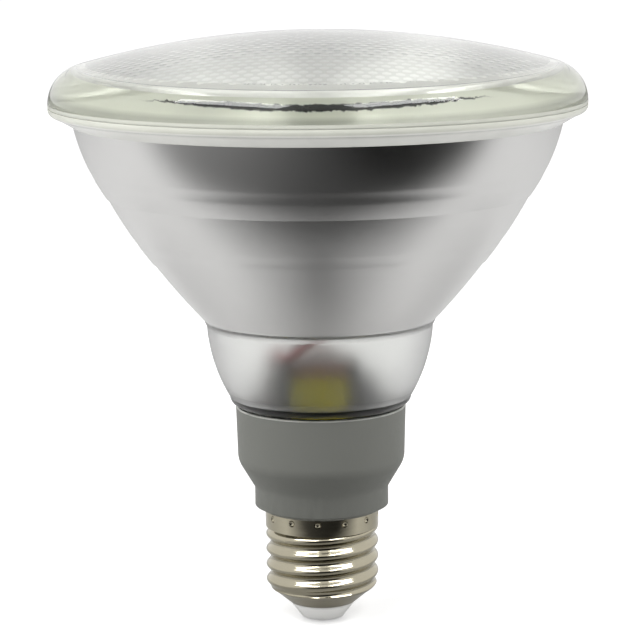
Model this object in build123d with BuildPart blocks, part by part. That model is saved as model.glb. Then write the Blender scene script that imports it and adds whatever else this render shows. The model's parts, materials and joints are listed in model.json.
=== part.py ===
from build123d import *
from math import cos, radians, sin, sqrt, tan
import os

# Parabolic spotlight lamp: lens up, screw cap down. Sizes in millimetres, +Z along the lamp's axis,
# origin at the tip of the centre contact, the viewer's side at -Y.

# Fits
slip = 0.1  # room between pieces that slide together
glue_line = 0.25  # thickness of a layer of adhesive or cement

# Centre contact
contact_radius = 3.2
contact_height = 0.5
contact_edge = 0.2
contact_stem_radius = 0.9
contact_stem_length = 7.2

# Base insulator, the white cone under the shell
insulator_tip_radius = 4.8
insulator_height = 3.9
insulator_edge = 0.6
insulator_plug_height = 2.4

# Screw shell with a 27 mm knuckle thread
shell_wall = 0.4
shell_mouth_radius = 7.85
shell_cone_radius = 11.3
shell_cone_height = 2.9
shell_shoulder_height = 3.1
shell_height = 22.2
skirt_height = 4.0
skirt_proud = 0.05  # plain skirt over the thread's crests
thread_pitch = 3.629
thread_crest_radius = 13.1
thread_depth = 1.05
thread_phase = -20  # start of the thread about the axis, in degrees

# Staking dimples that lock the shell to the collar
stake_count = 13
stake_ball_radius = 0.9
stake_depth = 0.45
stake_drop = 1.2
stake_phase = -11.2

# Collar
collar_height = 24.6
collar_foot_overhang = 2.35  # foot beyond the shell's skirt
collar_foot_wall = 2.5
collar_foot_height = 5.4
collar_foot_land = 0.35  # flat ring round the shell
collar_foot_rise = 1.1  # height of the foot's slanted edge
collar_taper_height = 6.4
collar_shoulder_round = 5.5
collar_wall = 1.75  # round the glass tube
collar_flare = 0.35
collar_rim_edge = 0.3
collar_floor = 2.4
spigot_wall = 1.6
spigot_length = 16.4

# Glass reflector, from the tube in the collar up to the flange
tube_radius = 17.3
tube_wall = 2.0
tube_depth = 7.2
lip_gap = 0.5
lip_overhang = 1.3  # glass lip beyond the collar's rim
lip_round = 1.8
neck_height = 18.3
neck_radius = 26.0
neck_bulge = 1.0
neck_wall = 2.4
step_height = 1.7
throat_wall = 2.15
mouth_wall = 1.4
bowl_radius = 26.75
lower_ring_wall = 2.43  # out from the reflecting face
lower_ring_height = 13.7
lower_bulge = 0.25
upper_ring_wall = 3.71
upper_ring_height = 28.7
middle_bulge = 0.4
mouth_height = 44.9
upper_bulge = 0.85
ring_step = 0.3
flange_radius = 61.0
flange_overhang = 5.5  # flange beyond the bowl's mouth
flange_rise = 4.2
flange_thickness = 1.8
flange_edge = 1.4

# Front lens
lens_dome_radius = 208.0
lens_edge_radius = 8.6
lens_land = 0.4
lens_thickness = 3.2
lens_foot_round = 1.0
seal_inset = 1.0
neck_seal_height = 5.0

# Light engine on the ledge at the top of the neck
ledge_drop = 0.7
plate_thickness = 2.0
plate_seal_foot = 0.3
led_board_radius = 21.0
led_board_thickness = 1.6
emitter_size = 3.0
emitter_height = 0.7
inner_ring_radius = 7.0
inner_ring_count = 6
outer_ring_radius = 14.0
outer_ring_count = 12
screw_circle_radius = 17.8
screw_count = 3
screw_phase = 15
screw_head_radius = 2.2
screw_head_height = 1.5
screw_head_round = 0.6
screw_shank_radius = 1.2
screw_bite = 1.6

# Driver board on its ledge in the collar
board_radius = 15.1
board_seat_height = 9.6
board_thickness = 1.6
part_clearance = 0.5  # from a part to the edge of its board or to the glass tube
chip_length = 5.0
chip_width = 4.0
chip_height = 1.6
chip_edge = 0.3
chip_place = (2.0, -4.0)

# Transformer, standing at the front of the board
transformer_place = (-0.9, -5.2)
rail_height = 6.0
rail_depth = 2.8
core_width = 19.0
core_height = 19.0
core_depth = 4.8
core_limb = 2.4
bobbin_wall = 0.8
winding_depth = 10.8
winding_corner = 3.0

# Other parts on the board
bulk_radius = 4.0
bulk_height = 24.0
bulk_angle = 150
output_radius = 4.0
output_height = 20.0
output_angle = 30
can_edge = 0.6
can_groove = 0.3
can_groove_height = 2.2
film_width = 8.0
film_depth = 5.0
film_height = 13.0
film_stand = 12.0
film_edge = 1.2
film_leg_radius = 0.35
film_leg_pitch = 5.0
film_place = (0.0, 8.7)
inductor_radius = 2.4
inductor_waist = 1.7
inductor_height = 5.4
inductor_flange = 1.0
inductor_angle = -22
bridge_width = 8.0
bridge_depth = 2.8
bridge_height = 6.0
bridge_chamfer = 1.2
bridge_shift = -1.2
bridge_edge_gap = 1.3
fuse_radius = 1.6
fuse_waist = 1.3
fuse_height = 6.0
fuse_cap = 2.0
fuse_angle = 62

# Leads
lead_radius = 0.75
lead_hole_circle = 10.6
lead_tail = 0.8
wire_radius = 0.55
wire_drop = 1.6
wire_gap = 0.25

# Levels along the axis
insulator_z = contact_height
stem_z = contact_height + contact_stem_length
shell_z = insulator_z + insulator_height
cone_z = shell_z + shell_cone_height
shoulder_top_z = cone_z + shell_shoulder_height
collar_z = shell_z + shell_height
skirt_z = collar_z - skirt_height
spigot_z = collar_z - spigot_length
taper_z = collar_z + collar_foot_height
shoulder_z = taper_z + collar_taper_height
rim_z = collar_z + collar_height
tube_z = rim_z - tube_depth
board_z = collar_z + board_seat_height
parts_z = board_z + board_thickness
core_z = parts_z + rail_height
lip_z = rim_z + lip_gap
neck_z = lip_z + neck_height
bowl_z = neck_z + step_height
ledge_z = bowl_z - ledge_drop
plate_z = ledge_z + plate_thickness
emitter_z = plate_z + led_board_thickness
mouth_z = bowl_z + mouth_height
flange_z = mouth_z + flange_rise
lens_z = flange_z + glue_line

# Radii and widths that follow from the sizes above
thread_mean_radius = thread_crest_radius - thread_depth / 2
skirt_radius = thread_crest_radius + skirt_proud
skirt_bore = skirt_radius - shell_wall
spigot_radius = thread_crest_radius - thread_depth - shell_wall - slip
collar_foot_radius = skirt_radius + collar_foot_overhang
collar_land_radius = skirt_radius + collar_foot_land
chamber_radius = collar_foot_radius - collar_foot_wall
seat_radius = tube_radius + glue_line
collar_shoulder_radius = seat_radius + collar_wall
collar_rim_radius = collar_shoulder_radius + collar_flare
lip_radius = collar_rim_radius + lip_overhang
tube_bore = tube_radius - tube_wall
board_bore = board_radius + slip
low_part_reach = board_radius - part_clearance  # parts that stay under the glass tube
tall_part_reach = min(board_radius, tube_bore) - part_clearance  # parts that stand up into it
bridge_place = (bridge_shift, board_radius - bridge_edge_gap - bridge_depth / 2)
throat_radius = bowl_radius - throat_wall
plate_radius = throat_radius - slip
mouth_radius = flange_radius - flange_overhang
mouth_bore = mouth_radius - mouth_wall
lead_hole_radius = lead_radius + slip
core_window = (core_width - 2 * core_limb - core_depth) / 2
core_middle_z = core_z + core_height / 2
window_height = core_height - 2 * core_limb

# The reflecting inner face is a parabola: radius squared grows evenly with height.
parabola_growth = (mouth_bore**2 - throat_radius**2) / (flange_z - ledge_z)
lower_ring_z = bowl_z + lower_ring_height
upper_ring_z = bowl_z + upper_ring_height

os.makedirs("parts", exist_ok=True)


def parabola_radius(height):
    return sqrt(throat_radius**2 + parabola_growth * (height - ledge_z))


def board_place(reach, angle):
    # A point on the driver board, given round the lamp's axis.
    return (reach * cos(radians(angle)), reach * sin(radians(angle)))


def knuckle_rod(radius):
    # A disc carried round a slim helix without turning leaves the rolled, wavy flank of a lamp thread.
    start = Plane.XY.offset(shell_z - shell_wall)
    with BuildPart() as rod:
        with BuildLine(start) as turns:
            Helix(pitch=thread_pitch, height=shell_height - skirt_height / 2, radius=thread_depth / 2)
        with BuildSketch(start) as disc:
            with Locations((thread_depth / 2, 0)):
                Circle(radius)
        sweep(disc.sketch, path=turns.wire(), normal=(0, 0, 1))
    return Rot(0, 0, thread_phase) * rod.part


def shell_envelope(inset):
    # Cone, rounded shoulder and plain cylinder that bound the shell, taken in by the inset.
    mouth = shell_mouth_radius - inset
    cone = shell_cone_radius - inset
    crest = thread_crest_radius + slip - inset
    with BuildPart() as envelope:
        with BuildSketch(Plane.XZ):
            with BuildLine():
                Polyline((0, collar_z), (0, shell_z), (mouth, shell_z), (cone, cone_z))
                TangentArc((crest, shoulder_top_z), (cone, cone_z), tangent=(0, -1))
                Polyline((crest, shoulder_top_z), (crest, collar_z), (0, collar_z))
            make_face()
        revolve(axis=Axis.Z)
    return envelope.part


def stake_balls(radius):
    # Punch tips in a ring just under the shell's top edge.
    ring = Plane.XY.offset(collar_z - stake_drop).rotated((0, 0, stake_phase))
    with BuildPart(ring) as balls:
        with PolarLocations(skirt_radius - stake_depth + stake_ball_radius, stake_count):
            Sphere(radius)
    return balls.part


def can_capacitor(place, radius, height):
    # Standing electrolytic can with the rolled groove near its foot.
    with BuildPart(Plane(origin=(*place, parts_z))) as can:
        Cylinder(radius, height, align=(Align.CENTER, Align.CENTER, Align.MIN))
        fillet(can.edges().filter_by(GeomType.CIRCLE), can_edge)
        with Locations((0, 0, can_groove_height)):
            Torus(radius, can_groove, mode=Mode.SUBTRACT)
    return can


def bend_radii(points):
    # Each bend is as wide as the two runs beside it allow.
    runs = [Vector(*end) - Vector(*start) for start, end in zip(points, points[1:])]
    radii = []
    for before, after in zip(runs, runs[1:]):
        half_turn = radians(before.get_angle(after) / 2)
        radii.append(0.45 * min(before.length, after.length) / tan(half_turn))
    return radii


def lead(points, radius):
    # A round wire along straight runs joined by tangent arcs.
    with BuildPart() as wire:
        with BuildLine() as route:
            FilletPolyline(*points, radius=bend_radii(points))
        with BuildSketch(Plane(origin=route.line @ 0, z_dir=route.line % 0)):
            Circle(radius)
        sweep(path=route.wire())
    return wire


# Cap: contact, insulator and shell

with BuildPart() as centre_contact:
    with BuildSketch():
        Circle(contact_radius)
    extrude(amount=contact_height)
    fillet(centre_contact.edges().filter_by(GeomType.CIRCLE).sort_by(Axis.Z)[0], contact_edge)
    with BuildSketch(Plane.XY.offset(contact_height)):
        Circle(contact_stem_radius)
    extrude(amount=contact_stem_length)

with BuildPart() as base_insulator:
    plug_radius = shell_mouth_radius - shell_wall - slip
    with BuildSketch(Plane.XZ):
        with BuildLine():
            Polyline(
                (0, insulator_z),
                (insulator_tip_radius, insulator_z),
                (shell_mouth_radius - slip, shell_z),
                (plug_radius, shell_z),
                (plug_radius, shell_z + insulator_plug_height),
                (0, shell_z + insulator_plug_height),
                close=True,
            )
        make_face()
    revolve(axis=Axis.Z)
    fillet(base_insulator.edges().filter_by(GeomType.CIRCLE).sort_by(Axis.Z)[0], insulator_edge)
    with Locations((0, 0, shell_z + insulator_plug_height)):
        Hole(contact_stem_radius + slip)

with BuildPart() as screw_shell:
    add(knuckle_rod(thread_mean_radius))
    add(shell_envelope(0), mode=Mode.INTERSECT)
    with BuildSketch(Plane.XY.offset(skirt_z)) as skirt:
        Circle(skirt_radius)
    extrude(amount=skirt_height)
    add(knuckle_rod(thread_mean_radius - shell_wall) & shell_envelope(shell_wall), mode=Mode.SUBTRACT)
    with BuildSketch(Plane.XY.offset(collar_z)):
        Circle(skirt_bore)
    extrude(amount=shell_wall - skirt_height, mode=Mode.SUBTRACT)
    add(stake_balls(stake_ball_radius + shell_wall) & extrude(skirt.sketch, skirt_height, mode=Mode.PRIVATE))
    add(stake_balls(stake_ball_radius), mode=Mode.SUBTRACT)

# Collar, with the spigot that the shell is pushed over

with BuildPart() as base_collar:
    land_radius = skirt_bore - slip
    land_z = skirt_z + shell_wall + slip
    spigot_bore = spigot_radius - spigot_wall
    with BuildSketch(Plane.XZ):
        with BuildLine():
            Polyline(
                (spigot_bore, spigot_z),
                (spigot_radius, spigot_z),
                (spigot_radius, land_z),
                (land_radius, land_z),
                (land_radius, collar_z),
                (collar_land_radius, collar_z),
                (collar_foot_radius, collar_z + collar_foot_rise),
                (collar_foot_radius, taper_z),
                (collar_shoulder_radius, shoulder_z),
                (collar_rim_radius, rim_z - collar_rim_edge),
                (collar_rim_radius - collar_rim_edge, rim_z),
                (seat_radius, rim_z),
                (seat_radius, tube_z),
                (board_bore, tube_z),
                (board_bore, board_z),
                (chamber_radius, board_z),
                (chamber_radius, collar_z + collar_floor),
                (spigot_bore, collar_z + collar_floor),
                (spigot_bore, spigot_z),
            )
        make_face()
        shoulder = vertices().sort_by_distance((collar_shoulder_radius, shoulder_z))[0]
        fillet(shoulder, collar_shoulder_round)
    revolve(axis=Axis.Z)
    add(stake_balls(stake_ball_radius + shell_wall + slip), mode=Mode.SUBTRACT)

# Glass: reflector with its neck, lens and the seals between them

with BuildPart() as glass_reflector:
    with BuildSketch(Plane.XZ):
        with BuildLine():
            Polyline(
                (tube_bore, lip_z),
                (tube_bore, tube_z),
                (tube_radius, tube_z),
                (tube_radius, lip_z),
                (lip_radius - lip_round, lip_z),
            )
            RadiusArc((lip_radius - lip_round, lip_z), (lip_radius, lip_z + lip_round), -lip_round)
            SagittaArc((lip_radius, lip_z + lip_round), (neck_radius, neck_z), -neck_bulge)
            Line((neck_radius, neck_z), (bowl_radius, bowl_z))
            lower_ring_radius = parabola_radius(lower_ring_z) + lower_ring_wall
            upper_ring_radius = parabola_radius(upper_ring_z) + upper_ring_wall
            lower_ring = (lower_ring_radius, lower_ring_z)
            upper_ring = (upper_ring_radius, upper_ring_z)
            lower_step = (lower_ring_radius + ring_step, lower_ring_z)
            upper_step = (upper_ring_radius + ring_step, upper_ring_z)
            SagittaArc((bowl_radius, bowl_z), lower_ring, -lower_bulge)
            Line(lower_ring, lower_step)
            SagittaArc(lower_step, upper_ring, -middle_bulge)
            Line(upper_ring, upper_step)
            SagittaArc(upper_step, (mouth_radius, mouth_z), -upper_bulge)
            underside = (flange_radius - flange_edge, flange_z - flange_thickness)
            rim = (flange_radius, flange_z - flange_thickness + flange_edge)
            Line((mouth_radius, mouth_z), underside)
            RadiusArc(underside, rim, -flange_edge)
            Polyline(rim, (flange_radius, flange_z), (mouth_bore, flange_z))
            control = (
                (mouth_bore + throat_radius) / 2,
                ledge_z + (mouth_bore - throat_radius) * throat_radius / parabola_growth,
            )
            Bezier((mouth_bore, flange_z), control, (throat_radius, ledge_z))
            neck_top = (neck_radius - neck_wall, ledge_z)
            neck_foot = (lip_radius - neck_wall, lip_z + tube_wall)
            Line((throat_radius, ledge_z), neck_top)
            SagittaArc(neck_top, neck_foot, neck_bulge)
            Line(neck_foot, (tube_bore, lip_z))
        make_face()
    revolve(axis=Axis.Z)

with BuildPart() as neck_seal:
    with BuildSketch(Plane.XY.offset(tube_z)):
        Circle(seat_radius)
        Circle(tube_radius, mode=Mode.SUBTRACT)
    extrude(amount=neck_seal_height)

with BuildPart() as lens_seal:
    with BuildSketch(Plane.XY.offset(flange_z)):
        Circle(flange_radius - seal_inset)
        Circle(mouth_bore + seal_inset, mode=Mode.SUBTRACT)
    extrude(amount=glue_line)

with BuildPart() as front_lens:
    # The edge circle touches the dome from inside and ends upright on the land above the seal.
    edge_z = lens_z + lens_land
    edge_centre = flange_radius - lens_edge_radius
    centre_gap = lens_dome_radius - lens_edge_radius
    dome_z = edge_z - sqrt(centre_gap**2 - edge_centre**2)
    touch_scale = lens_dome_radius / centre_gap
    touch = (edge_centre * touch_scale, dome_z + (edge_z - dome_z) * touch_scale)
    back_radius = lens_dome_radius - lens_thickness
    foot_top = (mouth_bore, dome_z + sqrt(back_radius**2 - mouth_bore**2))
    with BuildSketch(Plane.XZ) as lens_section:
        with BuildLine():
            Line((0, dome_z + back_radius), (0, dome_z + lens_dome_radius))
            RadiusArc((0, dome_z + lens_dome_radius), touch, lens_dome_radius)
            RadiusArc(touch, (flange_radius, edge_z), lens_edge_radius)
            Polyline((flange_radius, edge_z), (flange_radius, lens_z), (mouth_bore, lens_z), foot_top)
            RadiusArc(foot_top, (0, dome_z + back_radius), -back_radius)
        make_face()
        fillet(lens_section.vertices().sort_by_distance(foot_top)[0], lens_foot_round)
    revolve(axis=Axis.Z)

# Light engine

with BuildPart() as led_plate:
    with BuildSketch(Plane.XY.offset(ledge_z)):
        Circle(plate_radius)
        with PolarLocations(lead_hole_circle, 2, start_angle=-90):
            Circle(lead_hole_radius, mode=Mode.SUBTRACT)
        with PolarLocations(screw_circle_radius, screw_count, start_angle=screw_phase):
            Circle(screw_shank_radius + slip, mode=Mode.SUBTRACT)
    extrude(amount=plate_thickness)

with BuildPart() as plate_seal:
    seal_top_radius = parabola_radius(plate_z) - slip
    with BuildSketch(Plane.XZ):
        with BuildLine():
            Polyline(
                (plate_radius, ledge_z + plate_seal_foot),
                (plate_radius, plate_z),
                (seal_top_radius, plate_z),
                close=True,
            )
        make_face()
    revolve(axis=Axis.Z)

with BuildPart() as led_board:
    with BuildSketch(Plane.XY.offset(plate_z)):
        Circle(led_board_radius)
        with PolarLocations(lead_hole_circle, 2, start_angle=-90):
            Circle(lead_hole_radius, mode=Mode.SUBTRACT)
        with PolarLocations(screw_circle_radius, screw_count, start_angle=screw_phase):
            Circle(screw_shank_radius + slip, mode=Mode.SUBTRACT)
    extrude(amount=led_board_thickness)

with BuildPart() as led_emitters:
    with BuildSketch(Plane.XY.offset(emitter_z)):
        with PolarLocations(inner_ring_radius, inner_ring_count):
            Rectangle(emitter_size, emitter_size)
        with PolarLocations(outer_ring_radius, outer_ring_count):
            Rectangle(emitter_size, emitter_size)
    extrude(amount=emitter_height)

with BuildPart() as board_screws:
    with BuildSketch(Plane.XY.offset(emitter_z)):
        with PolarLocations(screw_circle_radius, screw_count, start_angle=screw_phase):
            Circle(screw_head_radius)
    extrude(amount=screw_head_height)
    fillet(board_screws.edges().group_by(Axis.Z)[-1], screw_head_round)
    with BuildSketch(Plane.XY.offset(emitter_z)):
        with PolarLocations(screw_circle_radius, screw_count, start_angle=screw_phase):
            Circle(screw_shank_radius)
    extrude(amount=-led_board_thickness - screw_bite)

# Driver

with BuildPart() as driver_board:
    with BuildSketch(Plane.XY.offset(board_z)):
        Circle(board_radius)
    extrude(amount=board_thickness)

with BuildPart(Plane(origin=(*chip_place, board_z))) as controller_chip:
    Box(chip_length, chip_width, chip_height, align=(Align.CENTER, Align.CENTER, Align.MAX))
    chamfer(controller_chip.faces().sort_by(Axis.Z)[0].edges(), chip_edge)

with BuildPart() as transformer_core:
    with BuildSketch(Plane((*transformer_place, core_middle_z), x_dir=(1, 0, 0), z_dir=(0, -1, 0))):
        Rectangle(core_width, core_height)
        with GridLocations(core_window + core_depth, 0, 2, 1):
            Rectangle(core_window, window_height, mode=Mode.SUBTRACT)
    extrude(amount=core_depth / 2, both=True)

with BuildPart() as transformer_bobbin:
    flange_width = core_depth + 2 * core_window - 2 * slip
    bobbin_depth = core_depth + 2 * slip + 2 * rail_depth
    tube_width = core_depth + 2 * slip + 2 * bobbin_wall
    window_z = core_z + core_limb
    with BuildSketch(Plane((*transformer_place, window_z + slip))):
        Rectangle(tube_width, tube_width)
    extrude(amount=window_height - 2 * slip)
    for flange_level in (window_z + slip, window_z + window_height - slip - bobbin_wall):
        with BuildSketch(Plane((*transformer_place, flange_level))):
            Rectangle(flange_width, bobbin_depth)
        extrude(amount=bobbin_wall)
    rails = (
        (parts_z, rail_height + core_limb + slip),
        (window_z + window_height - slip, core_limb + slip),
    )
    for rail_level, rail_rise in rails:
        with BuildSketch(Plane((*transformer_place, rail_level))):
            with GridLocations(0, bobbin_depth - rail_depth, 1, 2):
                Rectangle(flange_width, rail_depth)
        extrude(amount=rail_rise)
    with BuildSketch(Plane((*transformer_place, window_z))):
        Rectangle(core_depth + 2 * slip, core_depth + 2 * slip)
    extrude(amount=window_height, mode=Mode.SUBTRACT)

with BuildPart() as transformer_winding:
    winding_z = core_z + core_limb + bobbin_wall + 2 * slip
    with BuildSketch(Plane((*transformer_place, winding_z))):
        RectangleRounded(flange_width - 2 * slip, winding_depth, winding_corner)
        Rectangle(tube_width + 2 * slip, tube_width + 2 * slip, mode=Mode.SUBTRACT)
    extrude(amount=window_height - 2 * bobbin_wall - 4 * slip)

bulk_place = board_place(tall_part_reach - bulk_radius, bulk_angle)
output_place = board_place(tall_part_reach - output_radius, output_angle)
bulk_capacitor = can_capacitor(bulk_place, bulk_radius, bulk_height)
output_capacitor = can_capacitor(output_place, output_radius, output_height)

with BuildPart(Plane(origin=(*film_place, parts_z))) as film_capacitor:
    with Locations((0, 0, film_stand)):
        Box(film_width, film_depth, film_height, align=(Align.CENTER, Align.CENTER, Align.MIN))
    fillet(film_capacitor.edges(), film_edge)
    with GridLocations(film_leg_pitch, 0, 2, 1):
        Cylinder(film_leg_radius, film_stand + film_edge, align=(Align.CENTER, Align.CENTER, Align.MIN))

inductor_place = board_place(low_part_reach - inductor_radius, inductor_angle)
with BuildPart(Plane(origin=(*inductor_place, parts_z))) as filter_inductor:
    Cylinder(inductor_waist, inductor_height, align=(Align.CENTER, Align.CENTER, Align.MIN))
    with Locations((0, 0, 0), (0, 0, inductor_height - inductor_flange)):
        Cylinder(inductor_radius, inductor_flange, align=(Align.CENTER, Align.CENTER, Align.MIN))

with BuildPart(Plane(origin=(*bridge_place, parts_z))) as bridge_rectifier:
    Box(bridge_width, bridge_depth, bridge_height, align=(Align.CENTER, Align.CENTER, Align.MIN))
    chamfer(bridge_rectifier.edges().filter_by(Axis.Y).group_by(Axis.Z)[-1].sort_by(Axis.X)[0], bridge_chamfer)

fuse_place = board_place(low_part_reach - fuse_radius, fuse_angle)
with BuildPart(Plane(origin=(*fuse_place, parts_z))) as fuse_resistor:
    Cylinder(fuse_waist, fuse_height, align=(Align.CENTER, Align.CENTER, Align.MIN))
    with Locations((0, 0, 0), (0, 0, fuse_height - fuse_cap)):
        Cylinder(fuse_radius, fuse_cap, align=(Align.CENTER, Align.CENTER, Align.MIN))

# Leads from the driver to the light engine, and from the cap to the driver

red_route = [
    (-9.6, -0.8, parts_z),
    (-9.6, -0.8, parts_z + 9.0),
    (-9.8, -0.6, parts_z + 18.5),
    (-10.2, -0.7, ledge_z - 5.6),
    (-9.9, -9.6, ledge_z - 6.0),
    (-7.8, -14.2, ledge_z - 6.4),
    (-2.4, -14.8, ledge_z - 2.8),
    (0, -lead_hole_circle, ledge_z - 1.9),
    (0, -lead_hole_circle, emitter_z + lead_tail),
]
black_route = [
    (-7.1, -12.2, parts_z),
    (-7.1, -12.2, parts_z + 8.0),
    (-7.3, -12.0, parts_z + 17.0),
    (-7.1, -12.2, ledge_z - 6.8),
    (-5.0, -6.0, ledge_z - 4.4),
    (-2.5, 3.0, ledge_z - 4.2),
    (0, lead_hole_circle, ledge_z - 3.4),
    (0, lead_hole_circle, emitter_z + lead_tail),
]
shell_route = [
    (7.0, 0, board_z),
    (7.0, 0, spigot_z - wire_drop),
    (spigot_radius + slip - wire_gap, 0, spigot_z - wire_drop),
]
contact_route = [
    (-2.5, 0, board_z),
    (-2.5, 0, stem_z + 10.0),
    (0, 0, stem_z + 5.0),
    (0, 0, stem_z),
]
red_lead = lead(red_route, lead_radius)
black_lead = lead(black_route, lead_radius)
shell_wire = lead(shell_route, wire_radius)
contact_wire = lead(contact_route, wire_radius)

pieces = {
    "centre_contact": centre_contact,
    "base_insulator": base_insulator,
    "screw_shell": screw_shell,
    "base_collar": base_collar,
    "glass_reflector": glass_reflector,
    "neck_seal": neck_seal,
    "lens_seal": lens_seal,
    "front_lens": front_lens,
    "led_plate": led_plate,
    "plate_seal": plate_seal,
    "led_board": led_board,
    "led_emitters": led_emitters,
    "board_screws": board_screws,
    "driver_board": driver_board,
    "controller_chip": controller_chip,
    "transformer_core": transformer_core,
    "transformer_bobbin": transformer_bobbin,
    "transformer_winding": transformer_winding,
    "bulk_capacitor": bulk_capacitor,
    "output_capacitor": output_capacitor,
    "film_capacitor": film_capacitor,
    "filter_inductor": filter_inductor,
    "bridge_rectifier": bridge_rectifier,
    "fuse_resistor": fuse_resistor,
    "red_lead": red_lead,
    "black_lead": black_lead,
    "shell_wire": shell_wire,
    "contact_wire": contact_wire,
}
for name, piece in pieces.items():
    piece.part.label = name
    export_step(piece.part, "parts/" + name + ".step")
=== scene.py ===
import json
from math import acos, asin, atan2, cos, degrees, pi, radians, sin, sqrt

import bmesh
import bpy
from mathutils import Matrix, Vector


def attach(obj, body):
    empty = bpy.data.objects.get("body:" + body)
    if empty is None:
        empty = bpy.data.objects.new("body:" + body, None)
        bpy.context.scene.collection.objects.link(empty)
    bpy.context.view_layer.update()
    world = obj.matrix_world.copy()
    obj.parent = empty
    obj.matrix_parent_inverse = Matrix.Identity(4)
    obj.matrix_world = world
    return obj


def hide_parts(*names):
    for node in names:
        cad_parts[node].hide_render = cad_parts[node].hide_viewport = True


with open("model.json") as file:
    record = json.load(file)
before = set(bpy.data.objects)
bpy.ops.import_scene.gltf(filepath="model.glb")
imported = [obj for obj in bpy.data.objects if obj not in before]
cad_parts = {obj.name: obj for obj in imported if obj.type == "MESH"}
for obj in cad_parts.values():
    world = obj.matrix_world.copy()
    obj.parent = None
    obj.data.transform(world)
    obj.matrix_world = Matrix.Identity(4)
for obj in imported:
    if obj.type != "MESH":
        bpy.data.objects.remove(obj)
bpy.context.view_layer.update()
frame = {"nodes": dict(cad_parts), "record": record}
mm = 0.001  # the sizes below are in millimetres, the scene is in metres
print("frame loaded:", len(frame["nodes"]), "nodes")


# Section helpers: every outline runs in (radius, height)

def arcThrough(start, end, sagitta, count):
    # arc from start to end that bulges by the sagitta to the right of its way
    a, b = Vector(start), Vector(end)
    chord = b - a
    half = chord.length / 2
    side = Vector((chord.y, -chord.x)).normalized()
    radius = (half * half + sagitta * sagitta) / (2 * abs(sagitta))
    centre = (a + b) / 2 + side * (sagitta - radius if sagitta > 0 else sagitta + radius)
    first, last = a - centre, b - centre
    turn = atan2(first.x * last.y - first.y * last.x, first.dot(last))
    points = []
    for i in range(count + 1):
        spin = Matrix.Rotation(turn * i / count, 2)
        points.append(tuple(centre + spin @ first))
    return points


def arcAbout(centre, radius, fromAngle, toAngle, count):
    points = []
    for i in range(count + 1):
        angle = radians(fromAngle + (toAngle - fromAngle) * i / count)
        points.append((centre[0] + radius * cos(angle), centre[1] + radius * sin(angle)))
    return points


def straight(start, end, count):
    a, b = Vector(start), Vector(end)
    return [tuple(a.lerp(b, i / count)) for i in range(count + 1)]


# Mesh helpers

def lathe(bm, stretches, segments, closed=True):
    # turns the stretches of one outline about Z, each with its own material slot
    hair = 1e-6  # points closer than this are one
    rings = []
    for points, slot in stretches:
        for radius, height in points:
            place = Vector((radius, height))
            if rings and (place - rings[-1][0]).length < hair:
                continue
            rings.append((place, slot))
    if closed and (rings[0][0] - rings[-1][0]).length < hair:
        rings.pop()
    loops = []
    for place, slot in rings:
        count = 1 if place.x < hair else segments
        loops.append([bm.verts.new((place.x * mm * cos(2 * pi * k / segments),
                                    place.x * mm * sin(2 * pi * k / segments),
                                    place.y * mm)) for k in range(count)])
    last = len(loops) if closed else len(loops) - 1
    for i in range(last):
        low, high = loops[i], loops[(i + 1) % len(loops)]
        slot = rings[(i + 1) % len(loops)][1]
        for k in range(segments):
            n = (k + 1) % segments
            corners = [low[k % len(low)], low[n % len(low)], high[n % len(high)], high[k % len(high)]]
            corners = list(dict.fromkeys(corners))  # three corners at a pole
            bm.faces.new(corners).material_index = slot


def meshPiece(bm, name, materials, sharpAngle):
    mesh = bpy.data.meshes.new(name)
    bm.to_mesh(mesh)
    bm.free()
    for material in materials:
        mesh.materials.append(material)
    mesh.shade_smooth()
    mesh.set_sharp_from_angle(angle=radians(sharpAngle))
    piece = bpy.data.objects.new(name, mesh)
    bpy.context.scene.collection.objects.link(piece)
    return piece


def finishMesh(bm, name, materials, sharpAngle=35):
    # a turned piece, with its faces pointing outwards
    bmesh.ops.recalc_face_normals(bm, faces=bm.faces)
    return meshPiece(bm, name, materials, sharpAngle)


def seat(piece, slot, *nodes):
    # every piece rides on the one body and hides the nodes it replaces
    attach(piece, "root")
    if nodes:
        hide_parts(*nodes)
    return piece


def smoothCopy(node, name, material, slot, sharpAngle=30):
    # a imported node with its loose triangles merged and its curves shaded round
    mergeReach = 0.002 * mm
    bm = bmesh.new()
    bm.from_mesh(frame["nodes"][node].data)
    bmesh.ops.remove_doubles(bm, verts=bm.verts, dist=mergeReach)
    for face in bm.faces:
        face.material_index = 0
    piece = meshPiece(bm, name, [material], sharpAngle)
    weigh = piece.modifiers.new("weigh", "WEIGHTED_NORMAL")  # long faces keep their own direction
    weigh.keep_sharp = True
    return seat(piece, slot, node)


# Finish helpers

def newFinish(name, **values):
    # constant values go straight onto the shader's own sockets
    material = bpy.data.materials.new(name)
    material.use_nodes = True
    shader = material.node_tree.nodes["Principled BSDF"]
    for socket, value in values.items():
        shader.inputs[socket.replace("_", " ")].default_value = value
    return material, material.node_tree, shader


def axesOf(tree, output="Object"):
    coords = tree.nodes.new("ShaderNodeTexCoord")
    split = tree.nodes.new("ShaderNodeSeparateXYZ")
    tree.links.new(coords.outputs[output], split.inputs["Vector"])
    return split.outputs


def noiseOn(tree, scale, detail=2.0, roughness=0.5, stretch=(1, 1, 1)):
    coords = tree.nodes.new("ShaderNodeTexCoord")
    place = tree.nodes.new("ShaderNodeMapping")
    place.inputs["Scale"].default_value = stretch
    noise = tree.nodes.new("ShaderNodeTexNoise")
    noise.inputs["Scale"].default_value = scale
    noise.inputs["Detail"].default_value = detail
    noise.inputs["Roughness"].default_value = roughness
    tree.links.new(coords.outputs["Object"], place.inputs["Vector"])
    tree.links.new(place.outputs["Vector"], noise.inputs["Vector"])
    return noise.outputs["Fac"]


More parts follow.
